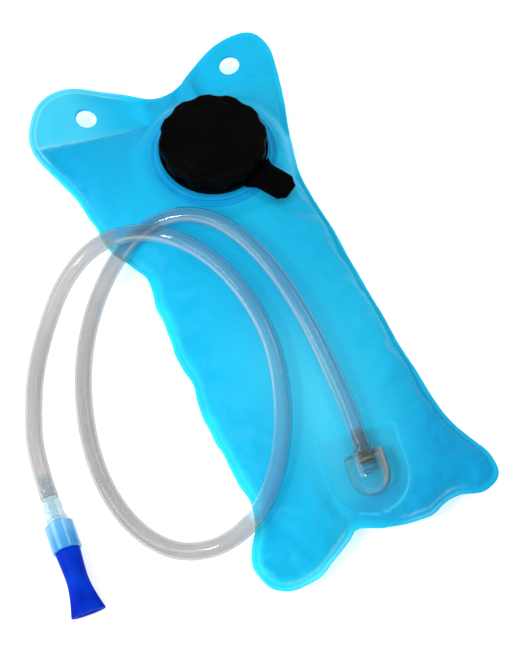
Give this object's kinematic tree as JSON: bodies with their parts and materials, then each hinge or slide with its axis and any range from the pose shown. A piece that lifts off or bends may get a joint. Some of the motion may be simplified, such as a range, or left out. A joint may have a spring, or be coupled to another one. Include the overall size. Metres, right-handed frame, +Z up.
{
  "type": "hydration bladder",
  "caption": "Flat film water bladder with two hanging holes, a leashed screw filler, a low outlet port, a looped drinking hose and a bite valve.",
  "frame": {"origin": "bottom centre of the bag, on the surface it lies on", "axes": "+X across the bag, +Y along it towards the filler and the hanging ears, +Z up through the filler cap"},
  "size_m": [0.2649, 0.369, 0.0482],
  "materials": {
    "film_blue": "satin translucent film",
    "neck_blue": "translucent moulded",
    "cap_black": "satin moulded",
    "leash_black": "matte",
    "silicone": "matte",
    "clear_plastic": "clear moulded",
    "o_ring_amber": "satin",
    "hose_clear": "clear flexible tube",
    "connector_blue": "translucent moulded",
    "valve_blue": "satin silicone"
  },
  "bodies": {
    "bag": {"front_film": "film_blue", "back_film": "film_blue", "filler_neck": "neck_blue", "leash_strap": "leash_black", "outlet_port": "clear_plastic", "hose_nipple": "clear_plastic", "nipple_o_ring": "o_ring_amber", "hose": "hose_clear", "valve_connector": "connector_blue"},
    "leash_ring": {"leash_cap_ring": "leash_black"},
    "cap": {"screw_cap": "cap_black", "cap_gasket": "silicone"},
    "valve": {"bite_valve": "valve_blue"}
  },
  "joints": [
    {"name": "cap_rise", "type": "slide", "parent": "bag", "child": "leash_ring", "axis": [0, 0, 1], "range_m": [0, 0.0061]},
    {"name": "cap_turn", "type": "hinge", "parent": "leash_ring", "child": "cap", "pos_m": [0.014, 0.0885, 0.0338], "axis": [0, 0, 1], "range_deg": [0, 540]},
    {"name": "valve_turn", "type": "hinge", "parent": "bag", "child": "valve", "pos_m": [-0.1635, -0.0745, 0.0104], "axis": [-0.0788, -0.9952, -0.0573], "continuous": true}
  ],
  "couplings": [
    {"joint": "cap_rise", "follows": "cap_turn", "m_per_rad": 0.00063662}
  ]
}
